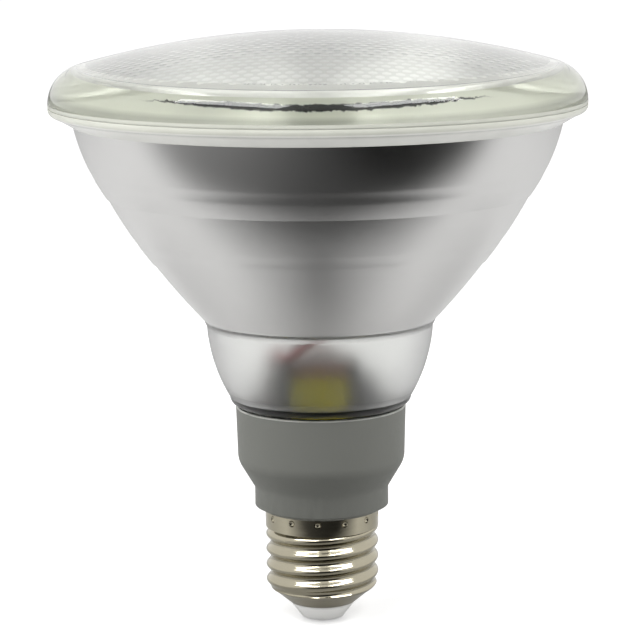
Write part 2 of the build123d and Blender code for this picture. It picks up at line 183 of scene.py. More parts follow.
def spread(tree, source, low, high, fromLow=0.2, fromHigh=0.8):
    ramp = tree.nodes.new("ShaderNodeMapRange")
    ramp.inputs["From Min"].default_value = fromLow
    ramp.inputs["From Max"].default_value = fromHigh
    ramp.inputs["To Min"].default_value = low
    ramp.inputs["To Max"].default_value = high
    tree.links.new(source, ramp.inputs["Value"])
    return ramp.outputs["Result"]


def opposite(tree, source):
    return spread(tree, source, 1.0, 0.0, 0.0, 1.0)


def maths(tree, operation, *values):
    node = tree.nodes.new("ShaderNodeMath")
    node.operation = operation
    for socket, value in zip(node.inputs, values):
        if isinstance(value, (int, float)):
            socket.default_value = value
        else:
            tree.links.new(value, socket)
    return node.outputs[0]


def tintBetween(tree, source, first, second):
    mix = tree.nodes.new("ShaderNodeMix")
    mix.data_type = "RGBA"
    mix.inputs["A"].default_value = (*first, 1)
    mix.inputs["B"].default_value = (*second, 1)
    tree.links.new(source, mix.inputs["Factor"])
    return mix.outputs["Result"]


def bumpOn(tree, shader, source, strength, depth):
    bump = tree.nodes.new("ShaderNodeBump")
    bump.inputs["Strength"].default_value = strength
    bump.inputs["Distance"].default_value = depth
    tree.links.new(source, bump.inputs["Height"])
    tree.links.new(bump.outputs["Normal"], shader.inputs["Normal"])


def cloudFinish(name, look, **values):
    # one noise drives the colour and, where the look says so, the gloss and the relief
    material, tree, shader = newFinish(name, **values)
    cloud = noiseOn(tree, look["grain"], look["detail"], stretch=look.get("stretch", (1, 1, 1)))
    tree.links.new(tintBetween(tree, cloud, look["low"], look["high"]), shader.inputs["Base Color"])
    if "rough" in look:
        tree.links.new(spread(tree, cloud, *look["rough"]), shader.inputs["Roughness"])
    if "bump" in look:
        bumpOn(tree, shader, cloud, *look["bump"])
    return material


def clearGlass(name, tint, roughness):
    material, tree, shader = newFinish(
        name, IOR=1.5, Transmission_Weight=1.0, Base_Color=(*tint, 1), Roughness=roughness
    )
    bumpOn(tree, shader, noiseOn(tree, scale=55, detail=2), strength=0.15, depth=0.6 * mm)
    return material


def milkyGlass(name, tint, roughness, clearness):
    # glass backed by adhesive, pale and softly lit from inside; the neck's foot band and the flange's lower
    # edge use it for painted highlights
    material, tree, shader = newFinish(name, IOR=1.5, Transmission_Weight=clearness, Roughness=roughness)
    cloud = spread(tree, noiseOn(tree, scale=160, detail=3), 0, 1)
    deeper = tuple(0.9 * channel for channel in tint)
    tree.links.new(tintBetween(tree, cloud, deeper, tint), shader.inputs["Base Color"])
    return material


# Glass reflector: tube, lip, neck, stepped bowl and flange in one pressed piece

reflectorSizes = {
    "tubeBore": 15.3, "tubeRadius": 17.3, "tubeFoot": 44.0,
    "lipHeight": 51.7, "lipRadius": 20.95, "lipRound": 1.8, "wallRings": 48, "bandRings": 5,
    "neckTop": (26.0, 70.0), "neckBulge": 1.0, "neckWall": 2.4, "neckFloor": 53.7,
    "bowlFoot": (26.75, 71.7), "ledge": 71.0, "throat": 24.6,
    "lowerRing": (38.16, 85.4), "upperRing": (48.16, 100.4), "ringStep": 0.3,
    "bulges": (0.25, 0.4, 0.85), "bowlRings": (16, 52, 52),
    "creases": (90.3, 105.4), "creaseDepth": 0.07, "creaseReach": 1.8,
    "mouth": (55.5, 116.6), "mouthBore": 54.1, "parabolaRings": 40,
    "flangeRadius": 61.0, "flangeTop": 120.8, "flangeThickness": 1.8, "flangeEdge": 1.4, "clearFrom": -40,
    "lipRings": 10, "footRings": 3, "flangeRings": 4, "edgeRings": (5, 4), "innerRings": 20, "segments": 288,
}


def bowlSatin():
    # the gloss stays above the value where the denoiser starts to draw contour lines
    material, tree, shader = newFinish("bowl_satin", Metallic=1.0)
    cloud = noiseOn(tree, scale=60, detail=3)
    tone = tintBetween(tree, cloud, (0.73, 0.725, 0.713), (0.79, 0.785, 0.772))
    tree.links.new(tone, shader.inputs["Base Color"])
    tree.links.new(spread(tree, cloud, 0.275, 0.335, 0.0, 1.0), shader.inputs["Roughness"])
    wave = noiseOn(tree, scale=28, detail=1, stretch=(1, 1, 0.6))
    bumpOn(tree, shader, wave, strength=1.0, depth=0.3 * mm)
    return material


def reflectorFinishes():
    frost = {
        "low": (0.82, 0.82, 0.81), "high": (0.88, 0.88, 0.87), "rough": (0.40, 0.46),
        "grain": 120, "detail": 3,
    }
    mirror = {
        "low": (0.92, 0.92, 0.91), "high": (0.97, 0.97, 0.96), "rough": (0.06, 0.12),
        "grain": 90, "detail": 2,
    }
    return [
        cloudFinish("neck_frost", frost, IOR=1.5, Transmission_Weight=0.97),
        bowlSatin(),
        milkyGlass("flange_glass", tint=(0.92, 0.93, 0.83), roughness=0.25, clearness=0.15),
        cloudFinish("mirror_coat", mirror, Metallic=1.0),
        clearGlass("neck_clear", tint=(0.94, 0.95, 0.93), roughness=0.06),
        # painted shade: the lip's round is tinted dark for the shadowed gap above the collar
        clearGlass("lip_painted_shade", tint=(0.40, 0.40, 0.39), roughness=0.35),
        # painted highlight: a milkier band at the foot of the neck stands in for the light on a rolled bead
        milkyGlass("lip_painted_highlight", tint=(0.70, 0.70, 0.69), roughness=0.4, clearness=0.9),
        # painted highlight: near white on the flange's underside and lower edge for the bright line along it
        milkyGlass("flange_painted_highlight", tint=(0.98, 0.985, 0.93), roughness=0.15, clearness=0.02),
    ]


def pressed(points, sizes):
    # draws the wall in a little round each soft press mark above a ring
    marked = []
    for radius, height in points:
        for crease in sizes["creases"]:
            far = min(1, abs(height - crease) / sizes["creaseReach"])
            radius -= sizes["creaseDepth"] * (1 - far ** 3 * (far * (far * 6 - 15) + 10))
        marked.append((radius, height))
    return marked


def innerParabola(sizes):
    s = sizes
    growth = (s["mouthBore"] ** 2 - s["throat"] ** 2) / (s["flangeTop"] - s["ledge"])
    points = []
    for i in range(s["parabolaRings"] + 1):
        height = s["flangeTop"] + (s["ledge"] - s["flangeTop"]) * i / s["parabolaRings"]
        points.append((sqrt(s["throat"] ** 2 + growth * (height - s["ledge"])), height))
    return points


def makeReflector(sizes):
    s = sizes
    frost, bowl, clear, mirror, inside, lipPaintedShade, lipPaintedHighlight, flangePaintedHighlight = range(8)
    lip = (s["lipRadius"], s["lipHeight"] + s["lipRound"])
    lowStep = (s["lowerRing"][0] + s["ringStep"], s["lowerRing"][1])
    highStep = (s["upperRing"][0] + s["ringStep"], s["upperRing"][1])
    lowArc = arcThrough(s["bowlFoot"], s["lowerRing"], s["bulges"][0], s["bowlRings"][0])
    midArc = arcThrough(lowStep, s["upperRing"], s["bulges"][1], s["bowlRings"][1])
    highArc = arcThrough(highStep, s["mouth"], s["bulges"][2], s["bowlRings"][2])
    under = (s["flangeRadius"] - s["flangeEdge"], s["flangeTop"] - s["flangeThickness"])
    edge = (under[0], under[1] + s["flangeEdge"])
    parabola = innerParabola(s)
    neckHead = (s["neckTop"][0] - s["neckWall"], s["ledge"])
    neckFoot = (s["lipRadius"] - s["neckWall"], s["neckFloor"])
    wall = arcThrough(lip, s["neckTop"], s["neckBulge"], s["wallRings"])
    outline = [
        ([(s["tubeBore"], s["lipHeight"]), (s["tubeBore"], s["tubeFoot"])], inside),
        ([(s["tubeRadius"], s["tubeFoot"]), (s["tubeRadius"], s["lipHeight"])], inside),
        # the lip's round, tinted dark as painted shade
        (arcAbout((lip[0] - s["lipRound"], lip[1]), s["lipRound"], -90, 0, s["lipRings"]), lipPaintedShade),
        # a painted highlight band at the foot of the neck
        (wall[:s["bandRings"] + 1], lipPaintedHighlight),
        (wall[s["bandRings"]:], frost),
        (straight(s["neckTop"], s["bowlFoot"], s["footRings"]), frost),
        (lowArc, bowl), (pressed(midArc, s), bowl), (pressed(highArc, s), bowl),
        # painted highlight on the flange's underside and the lower part of its edge
        (straight(s["mouth"], under, s["flangeRings"]), flangePaintedHighlight),
        (arcAbout(edge, s["flangeEdge"], -90, s["clearFrom"], s["edgeRings"][0]), flangePaintedHighlight),
        (arcAbout(edge, s["flangeEdge"], s["clearFrom"], 0, s["edgeRings"][1]), clear),
        ([(s["flangeRadius"], s["flangeTop"])], clear),
        (straight((s["flangeRadius"], s["flangeTop"]), parabola[0], s["flangeRings"]), clear),
        (parabola, mirror),
        ([(s["throat"], s["ledge"]), neckHead], inside),
        (arcThrough(neckHead, neckFoot, -s["neckBulge"], s["innerRings"]), inside),
    ]
    bm = bmesh.new()
    lathe(bm, outline, s["segments"])
    piece = finishMesh(bm, "reflector_glass", reflectorFinishes())
    return seat(piece, "reflector_glass", "glass_reflector")


reflector = makeReflector(reflectorSizes)
print("reflector:", len(reflector.data.polygons), "faces")


# Front lens: smooth dome outside, packed round bumps inside

lensSizes = {
    "domeRadius": 208.0, "thickness": 3.2, "edgeRadius": 8.6, "land": 0.4,
    "foot": 121.05, "rim": 61.0, "bore": 54.1, "footRound": 1.0,
    "crownRings": 48, "rimRings": 24, "edgeRings": 2, "footRings": 4, "blendRings": 6, "segments": 256,
    "pitch": 2.85, "bumpHeight": 0.08, "bumpShare": 0.77, "slopeShare": 0.15, "tileRings": 3, "dotRings": 2,
    "sharpAngle": 50,
    "fieldRadius": 53.4, "fieldGap": 0.1, "fade": 0.6, "paleFrom": 51.6, "groundTop": 121.75,
}


def bumpTile(sizes):
    # one six-sided tile with a round bump that is level along its edges
    s = sizes
    corner = s["pitch"] * mm / sqrt(3)
    reach = s["pitch"] * mm / 2 * s["bumpShare"]
    spokes = [Vector((sin(radians(60 * k)), cos(radians(60 * k)))) * corner for k in range(7)]
    bm = bmesh.new()
    dot = bm.faces.layers.int.new("dot")
    rings = []
    for ring in range(s["tileRings"] + 1):
        loop = []
        for k in range(max(1, 6 * ring)):
            side, along = divmod(k, max(1, ring))
            a, b = (spoke * ring / s["tileRings"] for spoke in spokes[side:side + 2])
            p = a.lerp(b, along / max(1, ring))
            far = min(1, p.length / reach)
            rise = 0 if ring == s["tileRings"] else s["bumpHeight"] * mm * (1 - far * far)
            loop.append(bm.verts.new((p.x, p.y, rise)))
        rings.append(loop)
    for ring in range(1, s["tileRings"] + 1):
        inner, outer = rings[ring - 1], rings[ring]
        for side in range(6):
            for along in range(ring):
                o0 = outer[side * ring + along]
                o1 = outer[(side * ring + along + 1) % len(outer)]
                i0 = inner[(side * (ring - 1) + along) % len(inner)]
                faces = [(i0, o1, o0)]
                if along < ring - 1:
                    faces.append((i0, inner[(side * (ring - 1) + along + 1) % len(inner)], o1))
                for corners in faces:
                    bm.faces.new(corners)[dot] = ring <= s["dotRings"]
    mesh = bpy.data.meshes.new("bump_tile")
    bm.to_mesh(mesh)
    bm.free()
    return bpy.data.objects.new("bump_tile", mesh)


def stippleTree():
    # rows of tiles, every other row moved by half a pitch, bent onto the back of the dome
    tree = bpy.data.node_groups.new("lens_stipple", "GeometryNodeTree")
    kinds = {
        "Tile": "Object", "Pitch": "Float", "Field Radius": "Float", "Back Radius": "Float",
        "Dome Centre": "Float", "Fade": "Float", "Glass": "Material",
    }
    sockets = {}
    for name, kind in kinds.items():
        socket = tree.interface.new_socket(name, in_out="INPUT", socket_type="NodeSocket" + kind)
        sockets[name] = socket.identifier
    tree.interface.new_socket("Stipple", in_out="OUTPUT", socket_type="NodeSocketGeometry")
    given = tree.nodes.new("NodeGroupInput").outputs
    result = tree.nodes.new("NodeGroupOutput").inputs
    weldReach = 0.02 * mm
    trimReach = 0.002 * mm

    def math(operation, *values):
        return maths(tree, operation, *values)

    def step(kind, **inputs):
        node = tree.nodes.new(kind)
        for label, value in inputs.items():
            socket = node.inputs[label.replace("_", " ")]
            if isinstance(value, float):
                socket.default_value = value
            else:
                tree.links.new(value, socket)
        return node

    def combine(**axes):
        return step("ShaderNodeCombineXYZ", **axes).outputs["Vector"]

    # a grid of points with every other row moved
    pitch, field = given["Pitch"], given["Field Radius"]
    rowStep = math("MULTIPLY", pitch, sqrt(3) / 2)
    reach = math("ADD", field, pitch)
    rows = math("MULTIPLY", math("CEIL", math("DIVIDE", reach, rowStep)), 2)
    columns = math("MULTIPLY", math("CEIL", math("DIVIDE", reach, pitch)), 2)
    grid = step(
        "GeometryNodeMeshGrid", Vertices_X=math("ADD", columns, 1), Vertices_Y=math("ADD", rows, 1),
        Size_X=math("MULTIPLY", columns, pitch), Size_Y=math("MULTIPLY", rows, rowStep),
    )
    where = step("GeometryNodeInputPosition")
    place = step("ShaderNodeSeparateXYZ", Vector=where.outputs["Position"]).outputs
    row = math("ABSOLUTE", math("ROUND", math("DIVIDE", place["Y"], rowStep)))
    shift = math("MULTIPLY", math("MULTIPLY", math("MODULO", row, 2), 0.5), pitch)
    stagger = step("GeometryNodeSetPosition", Geometry=grid.outputs["Mesh"], Offset=combine(X=shift))

    # a tile on each point of the field
    length = step("ShaderNodeVectorMath", Vector=combine(X=place["X"], Y=place["Y"]))
    length.operation = "LENGTH"
    away = length.outputs["Value"]
    outside = math("GREATER_THAN", away, math("ADD", field, math("MULTIPLY", pitch, 0.5)))
    keep = step("GeometryNodeDeleteGeometry", Geometry=stagger.outputs["Geometry"], Selection=outside)
    keep.domain = "POINT"
    tile = step("GeometryNodeObjectInfo", Object=given["Tile"])
    points, shape = keep.outputs["Geometry"], tile.outputs["Geometry"]
    copies = step("GeometryNodeInstanceOnPoints", Points=points, Instance=shape)
    real = step("GeometryNodeRealizeInstances", Geometry=copies.outputs["Instances"])
    weld = step("GeometryNodeMergeByDistance", Geometry=real.outputs["Geometry"], Distance=weldReach)

    # tiles over the field's edge are pulled back to it and levelled there
    inside = math("MINIMUM", math("DIVIDE", field, math("MAXIMUM", away, 1e-6)), 1.0)
    x = math("MULTIPLY", place["X"], inside)
    y = math("MULTIPLY", place["Y"], inside)
    margin = math("DIVIDE", math("SUBTRACT", field, away), given["Fade"])
    level = math("MINIMUM", math("MAXIMUM", margin, 0.0), 1.0)
    beyond = math("GREATER_THAN", away, field)
    rise = math("MULTIPLY", math("MULTIPLY", place["Z"], level), math("SUBTRACT", 1.0, beyond))
    square = math("ADD", math("MULTIPLY", x, x), math("MULTIPLY", y, y))
    ball = math("MULTIPLY", given["Back Radius"], given["Back Radius"])
    back = math("SQRT", math("SUBTRACT", ball, square))
    height = math("SUBTRACT", math("ADD", given["Dome Centre"], back), rise)
    spot = combine(X=x, Y=y, Z=height)
    bend = step("GeometryNodeSetPosition", Geometry=weld.outputs["Geometry"], Position=spot)
    edge = math("GREATER_THAN", away, math("SUBTRACT", field, trimReach))
    trim = step("GeometryNodeDeleteGeometry", Geometry=bend.outputs["Geometry"], Selection=edge)
    trim.domain = "FACE"
    clean = step("GeometryNodeMergeByDistance", Geometry=trim.outputs["Geometry"], Distance=weldReach)
    finish = step("GeometryNodeSetMaterial", Geometry=clean.outputs["Geometry"], Material=given["Glass"])
    tree.links.new(finish.outputs["Geometry"], result["Stipple"])
    return tree, sockets


def stippleField(sizes, backRadius, domeCentre, glass):
    # the stipple is worked out once and kept as a plain mesh
    s = sizes
    tile = bumpTile(s)
    carrier = bpy.data.objects.new("stipple_field", bpy.data.meshes.new("stipple_field"))
    for helper in (tile, carrier):
        bpy.context.scene.collection.objects.link(helper)
    tree, sockets = stippleTree()
    nodes = carrier.modifiers.new("stipple", "NODES")
    nodes.node_group = tree
    values = {
        "Tile": tile, "Pitch": s["pitch"] * mm, "Field Radius": s["fieldRadius"] * mm,
        "Back Radius": backRadius * mm, "Dome Centre": domeCentre * mm, "Fade": s["fade"] * mm,
        "Glass": glass,
    }
    for name, value in values.items():
        nodes[sockets[name]] = value
    shown = carrier.evaluated_get(bpy.context.evaluated_depsgraph_get())
    field = bpy.data.meshes.new_from_object(shown)
    for helper in (carrier, tile):
        bpy.data.objects.remove(helper)
    print("stipple:", len(field.polygons), "faces")
    return field


# the dark colour below paints a reflection streak and a band of shade onto the milky wall
coatSizes = {
    "milk": (0.70, 0.72, 0.62), "paintedDark": (0.01, 0.011, 0.009), "ragged": 0.8, "soft": 0.1,
    "streak": (123.3, 124.4), "streakRise": 0.9, "riseOver": (-0.3, 1.0),
    "patches": 3, "thinBy": 0.3, "thinOver": (-0.75, 0.5),
    "shadeTop": 122.1, "shadeSoft": 0.4, "shadeDepth": 0.42,
}


def boreMilkAndPaintedStreak(sizes):
    # milky wall round the lens, with a ragged dark streak that is a painted reflection of the dark front,
    # and painted shade towards its foot
    s = sizes
    material, tree, shader = newFinish("lens_edge_milk_and_painted_streak", IOR=1.02, Transmission_Weight=0.18, Roughness=0.4)
    axes = axesOf(tree)
    rag = noiseOn(tree, scale=650, detail=5, roughness=0.7)
    level = maths(tree, "ADD", axes["Z"], spread(tree, rag, -s["ragged"] * mm / 2, s["ragged"] * mm / 2))
    turn = maths(tree, "ARCTAN2", axes["X"], maths(tree, "MULTIPLY", axes["Y"], -1.0))
    patch = maths(tree, "COSINE", maths(tree, "MULTIPLY", turn, s["patches"]))
    level = maths(tree, "SUBTRACT", level, spread(tree, patch, s["streakRise"] * mm, 0.0, *s["riseOver"]))
    low, high = s["streak"]
    rising = spread(tree, level, 0.0, 1.0, (low - s["soft"]) * mm, (low + s["soft"]) * mm)
    thinning = spread(tree, patch, (high - low + s["thinBy"]) * mm, 0.0, *s["thinOver"])
    thinned = maths(tree, "ADD", level, thinning)
    falling = spread(tree, thinned, 1.0, 0.0, (high - s["soft"]) * mm, (high + s["soft"]) * mm)
    # painted reflection: the dark streak
    streak = maths(tree, "MULTIPLY", rising, falling)
    # painted shade: darker towards the foot of the wall
    shadeLow, shadeHigh = (s["shadeTop"] - s["shadeSoft"]) * mm, (s["shadeTop"] + s["shadeSoft"]) * mm
    shade = spread(tree, axes["Z"], s["shadeDepth"], 0.0, shadeLow, shadeHigh)
    paintedDark = maths(tree, "MAXIMUM", streak, shade)
    tree.links.new(tintBetween(tree, paintedDark, s["milk"], s["paintedDark"]), shader.inputs["Base Color"])
    return material


def easeField(piece, centre, share, slots):
    # the bumps are solid, but the light is bent by only a share of their slope
    mesh = piece.data
    directions = [corner.vector.copy() for corner in mesh.corner_normals]
    for face in mesh.polygons:
        if face.material_index not in slots:
            continue
        for corner in face.loop_indices:
            plain = (centre - mesh.vertices[mesh.loops[corner].vertex_index].co).normalized()
            directions[corner] = plain.lerp(directions[corner], share).normalized()
    mesh.normals_split_custom_set(directions)


def makeLens(sizes):
    s = sizes
    glass = clearGlass("lens_glass", tint=(0.97, 0.98, 0.945), roughness=0.02)
    clear, coat, soft, ground, pale, matt = range(6)
    edgeHeight = s["foot"] + s["land"]
    edgeCentre = s["rim"] - s["edgeRadius"]
    gap = s["domeRadius"] - s["edgeRadius"]
    domeCentre = edgeHeight - sqrt(gap ** 2 - edgeCentre ** 2)
    lean = acos(edgeCentre / gap)  # where the dome runs into the round rim
    backRadius = s["domeRadius"] - s["thickness"]

    bm = bmesh.new()
    bm.from_mesh(stippleField(s, backRadius, domeCentre, glass))
    dot = bm.faces.layers.int["dot"]
    for face in bm.faces:
        face.material_index = soft if face[dot] else matt
        if face.calc_center_median().xy.length > s["paleFrom"] * mm:
            face.material_index = pale

    crown = [(0, domeCentre + s["domeRadius"])]
    for i in range(1, s["crownRings"] + 1):
        angle = pi / 2 + (lean - pi / 2) * i / s["crownRings"]
        crown.append((s["domeRadius"] * cos(angle), domeCentre + s["domeRadius"] * sin(angle)))
    bend = asin((s["groundTop"] - edgeHeight) / s["edgeRadius"])
    rim = arcAbout((edgeCentre, edgeHeight), s["edgeRadius"], degrees(lean), degrees(bend), s["rimRings"])
    edge = arcAbout((edgeCentre, edgeHeight), s["edgeRadius"], degrees(bend), 0, s["edgeRings"])
    edge.append((s["rim"], s["foot"]))
    foot = (s["bore"], s["foot"])

    def backHeight(radius):
        return domeCentre + sqrt(backRadius ** 2 - radius ** 2)

    fieldEdge = s["fieldRadius"] + s["fieldGap"]
    corner = (s["bore"], backHeight(s["bore"]))
    start, end = (s["bore"], corner[1] - s["footRound"]), (fieldEdge, backHeight(fieldEdge))
    blend = []
    for i in range(s["blendRings"] + 1):
        t = i / s["blendRings"]
        a = Vector(start).lerp(Vector(corner), t)
        b = Vector(corner).lerp(Vector(end), t)
        blend.append(tuple(a.lerp(b, t)))
    outline = [
        (crown, clear), (rim, clear), (edge, ground), (straight(edge[-1], foot, s["footRings"]), ground),
        (straight(foot, start, s["footRings"]), coat), (blend, pale),
    ]
    lathe(bm, outline, s["segments"], closed=False)
    seam = [e for e in bm.edges if e.is_boundary]  # the stipple's ragged edge and the last ring
    bmesh.ops.triangle_fill(bm, edges=seam, use_beauty=True, use_dissolve=False)
    print("lens open edges:", sum(e.is_boundary or not e.is_manifold for e in bm.edges))

    finishes = [
        glass, boreMilkAndPaintedStreak(coatSizes),
        clearGlass("lens_stipple", tint=(1.0, 1.0, 0.985), roughness=0.3),
        milkyGlass("lens_ground_edge", tint=(0.72, 0.73, 0.65), roughness=0.3, clearness=0.1),
        milkyGlass("lens_edge_pale", tint=(0.84, 0.845, 0.805), roughness=0.3, clearness=0.4),
        # painted shade: the ground between the bumps is tinted darker, so the dots read bright
        clearGlass("lens_matt_painted_shade", tint=(0.64, 0.655, 0.625), roughness=0.34),
    ]
    piece = finishMesh(bm, "front_lens_glass", finishes, s["sharpAngle"])
    easeField(piece, Vector((0, 0, domeCentre * mm)), s["slopeShare"], (soft, matt))
    return seat(piece, "lens_glass", "front_lens")


lens = makeLens(lensSizes)
print("lens:", len(lens.data.polygons), "faces")


# Adhesive ring between lens and flange, kept a hair clear of both glass faces, and its bead

siliconeLook = {"low": (0.86, 0.87, 0.80), "high": (0.92, 0.93, 0.88), "grain": 200, "detail": 2}
sealSizes = {"inner": 55.1, "outer": 60.0, "foot": 120.81, "top": 121.04, "segments": 192}


def makeSeal(sizes, material):
    s = sizes
    low = [(s["inner"], s["foot"]), (s["outer"], s["foot"])]
    high = [(s["outer"], s["top"]), (s["inner"], s["top"])]
    bm = bmesh.new()
    lathe(bm, [(low + high, 0)], s["segments"])
    return seat(finishMesh(bm, "lens_seal_ring", [material]), "clear_silicone", "lens_seal")


beadSizes = {"inner": 60.02, "outer": 60.7, "height": 120.925, "round": 0.105, "rings": 6, "segments": 192}


def makeBead(sizes, material):
    # what was pressed out of the seal, in the narrow seam between the two glass rims
    s = sizes
    front = arcAbout((s["outer"], s["height"]), s["round"], -90, 90, s["rings"])
    low, high = s["height"] - s["round"], s["height"] + s["round"]
    bm = bmesh.new()
    lathe(bm, [(front, 0), ([(s["inner"], high), (s["inner"], low)], 0)], s["segments"])
    return seat(finishMesh(bm, "seam_bead", [material]), "clear_silicone")


silicone = cloudFinish("clear_silicone", siliconeLook, IOR=1.42, Transmission_Weight=0.3, Roughness=0.3)
packedSilicone = frame["nodes"]["lens_seal"].data.materials[0]  # plain, for the bead and the plate's seal
makeSeal(sealSizes, silicone)
makeBead(beadSizes, packedSilicone)
print("seal and bead finished")


# Collar, cap and contact

# where the collar's top edge carries its painted highlight
collarSizes = {"edge": 0.35, "upFrom": 0.3, "upTo": 0.95}


def collarPlastic():
    material, tree, shader = newFinish("collar_plastic", IOR=1.5, Specular_IOR_Level=0.15)
    grain = noiseOn(tree, scale=900, detail=3)
    cloud = noiseOn(tree, scale=45, detail=2)
    tone = tintBetween(tree, cloud, (0.180, 0.184, 0.167), (0.208, 0.212, 0.194))
    tree.links.new(tone, shader.inputs["Base Color"])
    tree.links.new(spread(tree, grain, 0.42, 0.55), shader.inputs["Roughness"])
    bumpOn(tree, shader, grain, strength=0.12, depth=0.2 * mm)
    return material


def paintedHighlightPlastic():
    material, tree, shader = newFinish("collar_painted_highlight", IOR=1.5, Roughness=0.3)
    cloud = spread(tree, noiseOn(tree, scale=300, detail=2), 0, 1)
    # painted highlight: the pale tone stands for light caught along the edge
    tone = tintBetween(tree, cloud, (0.30, 0.31, 0.28), (0.62, 0.63, 0.58))
    tree.links.new(tone, shader.inputs["Base Color"])
    return material


def paintEdgeHighlight(piece, sizes):
    # the slanted edge round the top has its own slot, tinted pale as a painted highlight
    mesh = piece.data
    top = max(vertex.co.z for vertex in mesh.vertices)
    highlightSlot = len(mesh.materials)
    mesh.materials.append(paintedHighlightPlastic())
    for face in mesh.polygons:
        outward = face.normal.xy.dot(face.center.xy) > 0
        slanted = sizes["upFrom"] < face.normal.z < sizes["upTo"]
        if outward and slanted and face.center.z > top - sizes["edge"] * mm:
            face.material_index = highlightSlot


shellSizes = {
    "skirtRadius": 13.15, "skirtFoot": 22.6, "upright": 0.99, "near": 0.02, "sharpAngle": 25,
    "stakes": 13, "stakePhase": -11.2, "stakeCircle": 13.6, "stakeHeight": 25.4, "stakeBall": 0.9,
}
nickelLook = {
    "low": (0.42, 0.388, 0.295), "high": (0.485, 0.45, 0.345), "rough": (0.08, 0.14),
    "grain": 220, "detail": 3, "stretch": (1, 1, 3), "bump": (0.03, 0.3 * mm),
}
insulatorLook = {"low": (0.90, 0.90, 0.88), "high": (0.95, 0.95, 0.93), "grain": 150, "detail": 2}
contactLook = {
    "low": (0.60, 0.59, 0.55), "high": (0.74, 0.73, 0.69), "rough": (0.22, 0.42),
    "grain": 500, "detail": 3, "bump": (0.2, 0.3 * mm),
}


def trueSkirt(piece, sizes):
    # the plain skirt and its dimples get the directions of a round wall and of balls
    s, mesh = sizes, piece.data
    directions = [corner.vector.copy() for corner in mesh.corner_normals]
    step = 2 * pi / s["stakes"]
    phase = radians(s["stakePhase"])
    for face in mesh.polygons:
        if face.center.z < s["skirtFoot"] * mm:
            continue
        for corner in face.loop_indices:
            spot = mesh.vertices[mesh.loops[corner].vertex_index].co / mm
            out = Vector((spot.x, spot.y, 0)).normalized()
            turn = phase + step * round((atan2(spot.y, spot.x) - phase) / step)
            ball = Vector((s["stakeCircle"] * cos(turn), s["stakeCircle"] * sin(turn), s["stakeHeight"]))
            if face.normal.dot(out) > s["upright"] and abs(spot.xy.length - s["skirtRadius"]) < s["near"]:
                directions[corner] = out
            elif abs((ball - spot).length - s["stakeBall"]) < s["near"]:
                directions[corner] = (ball - spot).normalized()
    mesh.normals_split_custom_set(directions)


collar = smoothCopy("base_collar", "collar", collarPlastic(), "collar_plastic")
paintEdgeHighlight(collar, collarSizes)
nickel = cloudFinish("shell_nickel", nickelLook, Metallic=1.0)
shell = smoothCopy("screw_shell", "screw_shell_nickel", nickel, "shell_nickel", shellSizes["sharpAngle"])
shell.modifiers.clear()
trueSkirt(shell, shellSizes)
white = cloudFinish("insulator_white", insulatorLook, IOR=1.5, Roughness=0.28)
smoothCopy("base_insulator", "insulator", white, "insulator_white")
tinned = cloudFinish("contact_metal", contactLook, Metallic=1.0)
smoothCopy("centre_contact", "contact_button", tinned, "contact_metal")
print("cap and collar finished")


# Parts inside the neck and the bowl: each finish is a colour pair and how matt it is

innerFinishes = {
    "cement": {"low": (0.22, 0.22, 0.20), "high": (0.32, 0.32, 0.29), "matt": 0.8, "grain": 700},
    "plate_aluminium": {"low": (0.70, 0.70, 0.70), "high": (0.80, 0.80, 0.80), "matt": 0.35, "grain": 300},
    "led_board_white": {"low": (0.80, 0.80, 0.78), "high": (0.88, 0.88, 0.86), "matt": 0.4, "grain": 250},
    "emitter_phosphor": {"low": (0.80, 0.62, 0.10), "high": (0.92, 0.76, 0.22), "matt": 0.3, "grain": 900},
    "screw_steel": {"low": (0.58, 0.58, 0.58), "high": (0.72, 0.72, 0.72), "matt": 0.28, "grain": 500},
    "circuit_board": {"low": (0.10, 0.20, 0.07), "high": (0.16, 0.27, 0.10), "matt": 0.4, "grain": 260},
    "chip_black": {"low": (0.012, 0.012, 0.012), "high": (0.03, 0.03, 0.03), "matt": 0.5, "grain": 900},
    "ferrite": {"low": (0.02, 0.019, 0.018), "high": (0.045, 0.042, 0.04), "matt": 0.6, "grain": 600},
    "bobbin_brown": {"low": (0.34, 0.14, 0.09), "high": (0.44, 0.20, 0.14), "matt": 0.45, "grain": 500},
    "winding_tape": {"low": (0.78, 0.66, 0.02), "high": (0.90, 0.80, 0.06), "matt": 0.25, "grain": 120},
    "can_sleeve": {"low": (0.008, 0.009, 0.010), "high": (0.02, 0.022, 0.025), "matt": 0.3, "grain": 300},
    "film_red": {"low": (0.32, 0.06, 0.03), "high": (0.45, 0.10, 0.05), "matt": 0.3, "grain": 300},
    "resistor_coat": {"low": (0.20, 0.42, 0.36), "high": (0.30, 0.52, 0.46), "matt": 0.4, "grain": 500},
    "lead_red": {"low": (0.72, 0.10, 0.11), "high": (0.84, 0.16, 0.16), "matt": 0.4, "grain": 300},
    "lead_black": {"low": (0.012, 0.012, 0.012), "high": (0.025, 0.025, 0.025), "matt": 0.4, "grain": 300},
}
innerMetals = ("plate_aluminium", "screw_steel")
innerGrain = {"detail": 3, "bump": (0.1, 0.2 * mm)}
mattRange = (0.85, 1.15)  # shares of a finish's matt value that its grain runs between


def innerFinish(name, look):
    low, high = (min(1.0, look["matt"] * share) for share in mattRange)
    metal = 1.0 if name in innerMetals else 0.0
    return cloudFinish(name, {**look, **innerGrain, "rough": (low, high)}, Metallic=metal)


